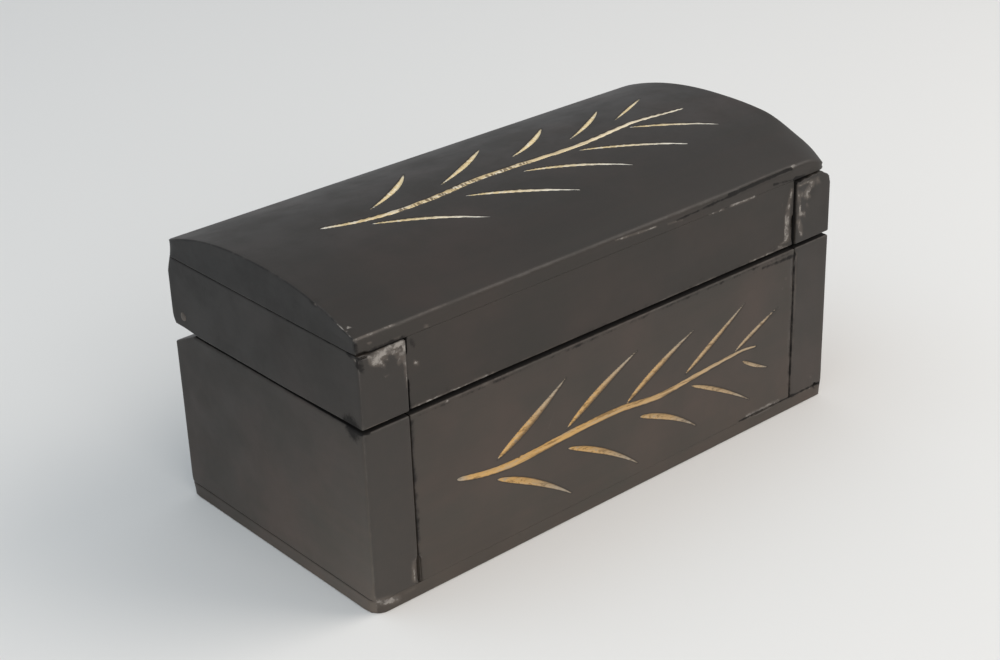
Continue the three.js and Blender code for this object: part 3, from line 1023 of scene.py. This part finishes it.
# %% [markdown]
# ## The pegs
#
# Two round pegs are driven in from the ends. A plain cylinder would look turned on a
# lathe. These were whittled, so each has shallow flats and a worn round at its outer end,
# which was sawn and sanded flat with the board.

# %% Whittled pegs
PEG_POINTS = 48
peg_ease, peg_step = 0.02, 0.6
whittled_flats, flat_depth = 9, 0.025
worn_round = [(0.0, 0.4), (0.0, 0.7), (0.12, 0.88), (0.35, 0.97), (0.8, 1.0)]


def peg(name, low, high, side, start):
    """A peg's skin: rings along its length, with its sawn end at the given side."""
    centre = (low + high) / 2
    radius = (high[2] - low[2]) / 2 - peg_ease
    length = high[0] - low[0]
    straight = int((length - 1.6) / peg_step)
    profile = worn_round + [(1.0 + k * peg_step, 1.0) for k in range(straight)]
    profile += [(length - 0.7, 0.98), (length - 0.1, 0.8), (length, 0.5)]
    outer = low[0] if side < 0 else high[0]
    angles = np.linspace(0, 2 * math.pi, PEG_POINTS, endpoint=False)
    flats = 1 - flat_depth * (0.5 + 0.5 * np.cos(angles * whittled_flats + start))
    layers = []
    for along, share in profile:
        reach = radius * share * flats
        layers.append(np.column_stack([
            np.full(PEG_POINTS, outer - side * along),
            centre[1] + reach * np.cos(angles), centre[2] + reach * np.sin(angles),
        ]))
    if side > 0:
        layers.reverse()
    middles = [layer.mean(axis=0)[None, :] for layer in (layers[0], layers[-1])]
    points = np.concatenate([middles[0], *layers, middles[1]])
    away = np.linalg.norm(points[:, 1:] - centre[1:], axis=1)
    print(name, "has", len(points), "points")
    return skin(name, points, board_faces(len(layers), PEG_POINTS), {"edge": radius - away})


pegs = [
    peg("hinge_peg_left_end", *limits("hinge_peg_left"), -1, 0.4),
    peg("hinge_peg_right_end", *limits("hinge_peg_right"), 1, 1.9),
]

# %% [markdown]
# ## Helpers for materials
#
# Every finish is built from nodes. Short helpers keep the recipes readable: they add a
# node and plug in its values, mix two colours, do a sum on two numbers, turn a number
# into a soft step, and lay noise over the surface.

# %% Node helpers
def add(tree, kind, inputs=None, **settings):
    """A new node with its settings, and its inputs linked or set."""
    made = tree.nodes.new(kind)
    for name, value in settings.items():
        setattr(made, name, value)
    for key, value in (inputs or {}).items():
        if isinstance(value, bpy.types.NodeSocket):
            tree.links.new(value, made.inputs[key])
        else:
            made.inputs[key].default_value = value
    return made


def mixed(tree, share, first, second):
    """The first colour, going to the second as the share goes from none to one."""
    made = add(tree, "ShaderNodeMix", {0: share, 6: first, 7: second}, data_type="RGBA")
    return made.outputs[2]


def step_up(tree, value, low, high, bottom=0.0, top=1.0):
    """A soft step from bottom to top while the value goes from low to high."""
    made = add(tree, "ShaderNodeMapRange", {0: value, 1: low, 2: high, 3: bottom, 4: top},
               interpolation_type="SMOOTHSTEP")
    return made.outputs[0]


def cloud(tree, place, scale, detail=3.0, roughness=0.6):
    """Soft noise over the surface, between none and one."""
    made = add(tree, "ShaderNodeTexNoise", {
        "Vector": place, "Scale": scale, "Detail": detail, "Roughness": roughness,
    })
    return made.outputs[0]


# %% Sums on numbers
def maths(tree, operation, first, second):
    """One operation on two numbers."""
    return add(tree, "ShaderNodeMath", {0: first, 1: second}, operation=operation).outputs[0]


def times(tree, first, second):
    """Two numbers multiplied."""
    return maths(tree, "MULTIPLY", first, second)


def plus(tree, first, second):
    """Two numbers added."""
    return maths(tree, "ADD", first, second)


def weighed(tree, first, first_weight, second, second_weight):
    """Two numbers added, each times its own weight."""
    return plus(tree, times(tree, first, first_weight), times(tree, second, second_weight))


# %% New groups and materials
def new_group(name, inputs, outputs):
    """An empty node group with named inputs and outputs, and its two end nodes."""
    tree = bpy.data.node_groups.new(name, "ShaderNodeTree")
    kinds = {"colour": "NodeSocketColor", "value": "NodeSocketFloat", "vector": "NodeSocketVector"}
    for way, sockets in (("INPUT", inputs), ("OUTPUT", outputs)):
        for title, kind in sockets.items():
            tree.interface.new_socket(title, in_out=way, socket_type=kinds[kind])
    return tree, add(tree, "NodeGroupInput").outputs, add(tree, "NodeGroupOutput").inputs


def place_group(tree, group, values):
    """A group used in a material with its own values."""
    return add(tree, "ShaderNodeGroup", values, node_tree=group).outputs


def new_material(name):
    """A material with its node tree and the shader in it."""
    material = bpy.data.materials.new(name)
    material.use_nodes = True
    return material, material.node_tree, material.node_tree.nodes["Principled BSDF"]


# %% [markdown]
# ## Wood grain
#
# Under the paint is a plain pale wood. Its grain is long streaks of darker late wood with
# fine pores, far longer along the board than across. Stretching the place along the grain
# before the noise reads it gives exactly that, at any scale.

# %% Wood grain group
wood, given, result = new_group(
    "wood_grain",
    {"Along Grain": "vector", "Light Wood": "colour", "Dark Wood": "colour", "Contrast": "value"},
    {"Colour": "colour", "Height": "value"},
)
rings_of_growth = add(wood, "ShaderNodeTexWave", {
    "Vector": given["Along Grain"], "Scale": 60.0, "Distortion": 14.0, "Detail": 3.0,
    "Detail Scale": 0.8,
}, bands_direction="Z").outputs[1]
streaks = cloud(wood, given["Along Grain"], 330.0, 4.0)
pores = cloud(wood, given["Along Grain"], 1500.0, 2.0, 0.5)
grain = weighed(wood, rings_of_growth, 0.2, streaks, 0.8)
grain = times(wood, step_up(wood, grain, 0.25, 0.8), given["Contrast"])
wood.links.new(mixed(wood, grain, given["Light Wood"], given["Dark Wood"]), result["Colour"])
wood.links.new(plus(wood, times(wood, grain, 0.5), pores), result["Height"])

# %% [markdown]
# ## The coat of paint
#
# Brushed dark paint is never one colour. Thin places let the red-brown wood show through
# in soft patches, the brush leaves faint streaks, and handling polishes it unevenly. The
# group gives the colour, how rough it is and a height for the brush marks.

# %% Paint coat group
coat, given, result = new_group(
    "paint_coat",
    {"Place": "vector", "Along Brush": "vector", "Paint": "colour", "Thin Paint": "colour",
     "Grime": "colour"},
    {"Colour": "colour", "Roughness": "value", "Height": "value"},
)
place = given["Place"]
patches = step_up(coat, cloud(coat, place, 38.0, 3.0, 0.55), 0.42, 0.72)
clouds = step_up(coat, cloud(coat, place, 90.0, 4.0), 0.3, 0.75)
brush = cloud(coat, given["Along Brush"], 420.0, 3.0, 0.55)
specks = step_up(coat, cloud(coat, place, 1500.0, 2.0), 0.68, 0.82)
colour = mixed(coat, times(coat, patches, 0.75), given["Paint"], given["Thin Paint"])
colour = mixed(coat, times(coat, clouds, 0.35), colour, given["Grime"])
streak_share = step_up(coat, brush, 0.35, 0.75, 0.0, 0.22)
colour = mixed(coat, streak_share, colour, given["Thin Paint"])
coat.links.new(colour, result["Colour"])
coat.links.new(weighed(coat, clouds, 0.12, specks, 0.12), result["Roughness"])
coat.links.new(weighed(coat, brush, 0.5, cloud(coat, place, 700.0), 0.5), result["Height"])

# %% [markdown]
# ## Worn edges and scuffs
#
# Paint goes first where hands and tables touch it. Along an arris it is rubbed thin and
# pale in broken dashes. In a scuff it flakes off in ragged islands and shows the pale
# ground under it, and round them it is only thinned. The masks come from numbers on the
# mesh, broken up by noise.

# %% Wear group
wear, given, result = new_group(
    "wear",
    {"Place": "vector", "Edge": "value", "Reach": "value", "Amount": "value", "Scuff": "value"},
    {"Rubbed": "value", "Flaked": "value", "Thinned": "value", "Tone": "value"},
)
place, scuff = given["Place"], given["Scuff"]
near_edge = maths(wear, "SUBTRACT", 1.0, maths(wear, "DIVIDE", given["Edge"], given["Reach"]))
near_edge = maths(wear, "MAXIMUM", near_edge, 0.0)
breaks = cloud(wear, place, 120.0, 3.0, 0.65)
luck = step_up(wear, weighed(wear, breaks, 0.75, cloud(wear, place, 900.0), 0.25), 0.4, 0.66)
rubbed = times(wear, times(wear, near_edge, luck), given["Amount"])
wear.links.new(rubbed, result["Rubbed"])
islands = weighed(wear, cloud(wear, place, 650.0, 4.0, 0.65), 0.9, scuff, 0.55)
flaked = times(wear, step_up(wear, islands, 0.72, 0.86), step_up(wear, scuff, 0.05, 0.3))
wear.links.new(flaked, result["Flaked"])
thinned = weighed(wear, cloud(wear, place, 260.0, 4.0), 0.8, scuff, 0.6)
thinned = times(wear, step_up(wear, thinned, 0.45, 0.85), step_up(wear, scuff, 0.0, 0.25))
wear.links.new(thinned, result["Thinned"])
wear.links.new(step_up(wear, cloud(wear, place, 480.0), 0.38, 0.62), result["Tone"])

# %% [markdown]
# ## Fresh wood in the cuts
#
# A gouge goes through the paint and leaves clean golden wood, paler at the thin tips,
# where it only scraped the surface. The paint's cut edge is a thin dark line. The mesh
# carries the distance to the edge of each cut, so the border stays crisp at any size.

# %% Gouge group
gouge, given, result = new_group(
    "gouge_cut",
    {"Place": "vector", "Cut": "value", "Tip": "value", "Side": "value", "Hatch": "value",
     "Golden": "colour", "Pale": "colour", "Shade": "colour", "Shading": "value"},
    {"Bare": "value", "Rim": "value", "Colour": "colour", "Height": "value"},
)
place, shade, shading = given["Place"], given["Shade"], given["Shading"]
ragged = maths(gouge, "SUBTRACT", cloud(gouge, place, 1400.0, 2.0), 0.5)
cut = plus(gouge, given["Cut"], times(gouge, ragged, 0.16))
gouge.links.new(step_up(gouge, cut, -0.04, 0.06), result["Bare"])
gouge.links.new(times(gouge, step_up(gouge, cut, -0.34, -0.06), 0.65), result["Rim"])
fibres = cloud(gouge, place, 1700.0, 4.0, 0.65)
paler = maths(gouge, "MAXIMUM", step_up(gouge, given["Tip"], 0.2, 1.0),
              step_up(gouge, fibres, 0.5, 0.66, 0.0, 0.8))
inner = mixed(gouge, paler, given["Golden"], given["Pale"])
dark_fibres = step_up(gouge, fibres, 0.36, 0.5, 0.6, 0.0)
inner = mixed(gouge, times(gouge, dark_fibres, shading), inner, shade)
# Painted shade: the upper wall of each cut and its thin edges are darkened as if in shadow.
upper_wall_shade = step_up(gouge, given["Side"], 0.45, 0.95, 0.0, 0.9)
wall_shade = maths(gouge, "MAXIMUM", upper_wall_shade, step_up(gouge, cut, 0.0, 0.2, 0.6, 0.0))
inner = mixed(gouge, times(gouge, wall_shade, shading), inner, shade)
bits = step_up(gouge, cloud(gouge, place, 1700.0, 3.0, 0.65), 0.38, 0.5)
torn = times(gouge, bits, step_up(gouge, given["Hatch"], 0.1, 0.4))
inner = mixed(gouge, times(gouge, torn, 0.8), inner, shade)
gouge.links.new(inner, result["Colour"])
gouge.links.new(fibres, result["Height"])
print("node groups:", sorted(group.name for group in bpy.data.node_groups))


# %% [markdown]
# ## Painted boards
#
# One recipe makes every painted board. What differs is given as values: how bright the
# coat is, how much the arrises are rubbed, and which way the brush and the grain run. The
# brightness of the coats is painted light and shade: the lid's is set darkest and the
# base's brightest, for how the light falls on them. End grain drinks paint and turns darker.

# %% Colours of the boards
paint_colour, thin_colour = (0.0325, 0.0265, 0.0215), (0.050, 0.035, 0.028)
grime_colour, end_colour = (0.035, 0.034, 0.028), (0.022, 0.021, 0.020)
bare_light, bare_dark = (0.36, 0.215, 0.105, 1), (0.17, 0.088, 0.038, 1)
ground_dark, ground_pale = (0.075, 0.065, 0.057, 1), (0.23, 0.212, 0.192, 1)
cut_shade, cut_rim = (0.075, 0.045, 0.022, 1), (0.012, 0.010, 0.009, 1)
scraped_paint, smudge_and_shade_black = (0.085, 0.07, 0.058, 1), (0.005, 0.004, 0.0035, 1)


# %% Painted board material
def mark(tree, title):
    """A number that the mesh carries at each point."""
    return add(tree, "ShaderNodeAttribute", attribute_name=title).outputs["Fac"]


def painted_board(name, tone, stretch, golden, pale, shading, amount):
    """Dark paint over wood, with wear, bare insides and gouge cuts."""
    material, tree, surface = new_material(name)
    place = add(tree, "ShaderNodeTexCoord").outputs["Object"]
    along = add(tree, "ShaderNodeMapping", {"Vector": place, "Scale": stretch}).outputs[0]
    coloured, thin, grime, end_grain = [
        (*[part * tone for part in colour], 1)
        for colour in (paint_colour, thin_colour, grime_colour, end_colour)
    ]
    paint = place_group(tree, coat, {
        "Place": place, "Along Brush": along, "Paint": coloured, "Thin Paint": thin,
        "Grime": grime,
    })
    bare_wood = place_group(tree, wood, {
        "Along Grain": along, "Light Wood": bare_light, "Dark Wood": bare_dark, "Contrast": 0.9,
    })
    worn = place_group(tree, wear, {
        "Place": place, "Edge": mark(tree, "edge"), "Reach": 0.55, "Amount": amount,
        "Scuff": mark(tree, "scuff"),
    })
    cuts = place_group(tree, gouge, {
        "Place": along, "Cut": mark(tree, "cut"), "Tip": mark(tree, "tip"),
        "Side": mark(tree, "side"), "Hatch": mark(tree, "hatch"), "Golden": (*golden, 1),
        "Pale": (*pale, 1), "Shade": cut_shade, "Shading": shading,
    })
    end_share = times(tree, mark(tree, "endgrain"), 0.35)
    colour = mixed(tree, end_share, paint["Colour"], end_grain)
    # Painted light and shade: the colour is scaled darker toward the top and back of the end boards
    # and lighter toward the bottom of the base front.
    colour = add(tree, "ShaderNodeVectorMath", {0: colour, "Scale": mark(tree, "painted_light_gradient")},
                 operation="SCALE").outputs[0]
    colour = mixed(tree, cuts["Rim"], colour, cut_rim)
    colour = mixed(tree, times(tree, worn["Thinned"], 0.75), colour, scraped_paint)
    ground = mixed(tree, worn["Tone"], ground_dark, ground_pale)
    colour = mixed(tree, worn["Rubbed"], colour, ground)
    colour = mixed(tree, worn["Flaked"], colour, ground)
    wander = times(tree, cloud(tree, place, 180.0, 3.0, 0.55), 4.0)
    inside = step_up(tree, maths(tree, "SUBTRACT", mark(tree, "bare"), wander), -0.5, -0.2)
    colour = mixed(tree, inside, colour, bare_wood["Colour"])
    # The random smudges are dirt. The listed lines add painted shade, near black in the crease,
    # cracks, gaps and seam.
    smudges = times(tree, cloud(tree, place, 420.0, 4.0, 0.65), 1.2)
    smudges_and_shade = step_up(tree, plus(tree, smudges, mark(tree, "painted_shade_lines")), 0.8, 1.25, 0.0, 0.95)
    colour = mixed(tree, smudges_and_shade, colour, smudge_and_shade_black)
    colour = mixed(tree, cuts["Bare"], colour, cuts["Colour"])
    tree.links.new(colour, surface.inputs["Base Color"])
    raw = maths(tree, "MAXIMUM", maths(tree, "MAXIMUM", inside, cuts["Bare"]), worn["Flaked"])
    rough = plus(tree, plus(tree, paint["Roughness"], 0.44), times(tree, raw, 0.25))
    rough = plus(tree, rough, times(tree, smudges_and_shade, 0.4))
    tree.links.new(rough, surface.inputs["Roughness"])
    raw_height = times(tree, bare_wood["Height"], raw)
    height = weighed(tree, paint["Height"], 0.5, raw_height, 0.7)
    height = maths(tree, "SUBTRACT", height, times(tree, worn["Flaked"], 1.2))
    bump = add(tree, "ShaderNodeBump", {"Height": height, "Strength": 0.35, "Distance": 0.00012})
    tree.links.new(bump.outputs[0], surface.inputs["Normal"])
    surface.inputs["Specular IOR Level"].default_value = 0.35
    return material


# %% Four painted finishes
along_box = (0.06, 1.0, 1.0)
across_box = (1.0, 0.06, 1.0)
honey, straw = (0.54, 0.33, 0.115), (0.33, 0.29, 0.23)
cream, chalk = (0.80, 0.64, 0.36), (0.90, 0.86, 0.76)
# Painted light and shade: the tones make the base's coats brighter and the lid's darker.
lid_paint = painted_board("lid_paint", 0.68, along_box, cream, chalk, 0.45, 0.2)
lid_end_paint = painted_board("lid_end_paint", 0.8, across_box, cream, chalk, 0.35, 0.15)
base_paint = painted_board("base_paint", 1.25, along_box, honey, straw, 0.95, 0.2)
base_end_paint = painted_board("base_end_paint", 1.15, across_box, honey, straw, 0.95, 0.15)
print("painted finishes:", [m.name for m in (lid_paint, lid_end_paint, base_paint, base_end_paint)])

# %% [markdown]
# ## End grain of the pegs
#
# A peg shows only its round end: a small disc of end grain, stained with the same dark
# coat but rubbed paler than the board round it, with a darker ring where paint caught in
# the joint.

# %% Peg material
stained_light, stained_dark = (0.095, 0.078, 0.064, 1), (0.034, 0.027, 0.022, 1)
rubbed_peg = (0.16, 0.13, 0.10, 1)
peg_finish, tree, surface = new_material("peg_end_grain")
place = add(tree, "ShaderNodeTexCoord").outputs["Object"]
grain_of_peg = place_group(tree, wood, {
    "Along Grain": place, "Light Wood": stained_light, "Dark Wood": stained_dark, "Contrast": 1.0,
})
worn = place_group(tree, wear, {
    "Place": place, "Edge": 0.2, "Reach": 1.0, "Amount": 0.5, "Scuff": 0.25,
})
colour = mixed(tree, worn["Rubbed"], grain_of_peg["Colour"], rubbed_peg)
ring_share = step_up(tree, mark(tree, "edge"), 0.03, 0.3, 0.85, 0.0)
colour = mixed(tree, ring_share, colour, cut_rim)
tree.links.new(colour, surface.inputs["Base Color"])
rough = plus(tree, 0.5, times(tree, grain_of_peg["Height"], 0.1))
tree.links.new(rough, surface.inputs["Roughness"])
bump = add(tree, "ShaderNodeBump", {
    "Height": grain_of_peg["Height"], "Strength": 0.4, "Distance": 0.0001,
})
tree.links.new(bump.outputs[0], surface.inputs["Normal"])

# %% [markdown]
# ## Putting the box together
#
# Each skin takes the place of one solid and moves with the base or the lid, so the lid
# still opens on its pegs. The slot names the finish that a later scene may repaint.

# %% Fit each skin to its solid
fitting = [
    (bottom, "base_bottom", "base", base_paint), (front, "base_front", "base", base_paint),
    (back, "base_back", "base", base_paint),
    (ends_of_base[0], "base_end_left", "base", base_end_paint),
    (ends_of_base[1], "base_end_right", "base", base_end_paint),
    (top, "lid_top", "lid", lid_paint), (lid_front, "lid_front", "lid", lid_paint),
    (lid_back, "lid_back", "lid", lid_paint),
    (ends_of_lid[0], "lid_end_left", "lid", lid_end_paint),
    (ends_of_lid[1], "lid_end_right", "lid", lid_end_paint),
    (pegs[0], "hinge_peg_left", "lid", peg_finish), (pegs[1], "hinge_peg_right", "lid", peg_finish),
]
for piece, node, body, finish in fitting:
    piece.data.materials.append(finish)
    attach(piece, body)
    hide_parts(node)
triangles = sum(sum(len(face.vertices) - 2 for face in piece.data.polygons)
                for piece, _, _, _ in fitting)
print("pieces:", len(fitting), "triangles in all:", triangles)

# %% [markdown]
# ## Floor and light
#
# The box stands on a pale seamless floor in a light tent. The strongest lamp is warm and
# high at the front right, so a soft shadow lies to the left. A weaker one lights the
# front, a bluish one high at the back left cools the lid and the shadow, and a small low
# one stands for light that the floor throws back. Large lamps keep the shadows soft.

# %% Pale floor
floor_mesh = bpy.data.meshes.new("floor")
reach = 6.0
floor_mesh.from_pydata(
    [(-reach, -reach, 0), (reach, -reach, 0), (reach, reach, 0), (-reach, reach, 0)],
    [], [(0, 1, 2, 3)],
)
floor = bpy.data.objects.new("floor", floor_mesh)
bpy.context.scene.collection.objects.link(floor)
floor_finish, _, surface = new_material("floor_paper")
surface.inputs["Base Color"].default_value = (0.80, 0.79, 0.77, 1)
surface.inputs["Roughness"].default_value = 0.8
surface.inputs["Specular IOR Level"].default_value = 0.2
floor_mesh.materials.append(floor_finish)


# %% Soft lamps and sky
def lamp(name, place, target, size, strength, colour):
    """A square lamp that faces its target."""
    data = bpy.data.lights.new(name, "AREA")
    data.shape = "SQUARE"
    data.size = size
    data.energy = strength
    data.color = colour
    made = bpy.data.objects.new(name, data)
    made.location = place
    made.rotation_euler = (Vector(target) - Vector(place)).to_track_quat("-Z", "Y").to_euler()
    bpy.context.scene.collection.objects.link(made)


lamp("tent_right", (0.6, -0.45, 0.75), (0, 0, 0.03), 0.75, 5.6, (1.0, 0.93, 0.86))
lamp("tent_front", (-0.2, -1.1, 0.45), (0, 0, 0.02), 0.8, 4.0, (1.0, 0.95, 0.90))
lamp("tent_left", (-0.6, 0.3, 1.3), (0, 0, 0.02), 1.0, 3.3, (0.62, 0.84, 1.0))
lamp("tent_bounce", (-0.22, -0.18, 0.03), (-0.07, -0.03, 0.015), 0.1, 0.16, (1.0, 0.97, 0.95))
sky = bpy.data.worlds.new("sky")
sky.use_nodes = True
background = sky.node_tree.nodes["Background"]
background.inputs["Color"].default_value = (0.93, 0.96, 1.0, 1)
background.inputs["Strength"].default_value = 0.53
bpy.context.scene.world = sky
bpy.context.scene.view_settings.view_transform = "Standard"
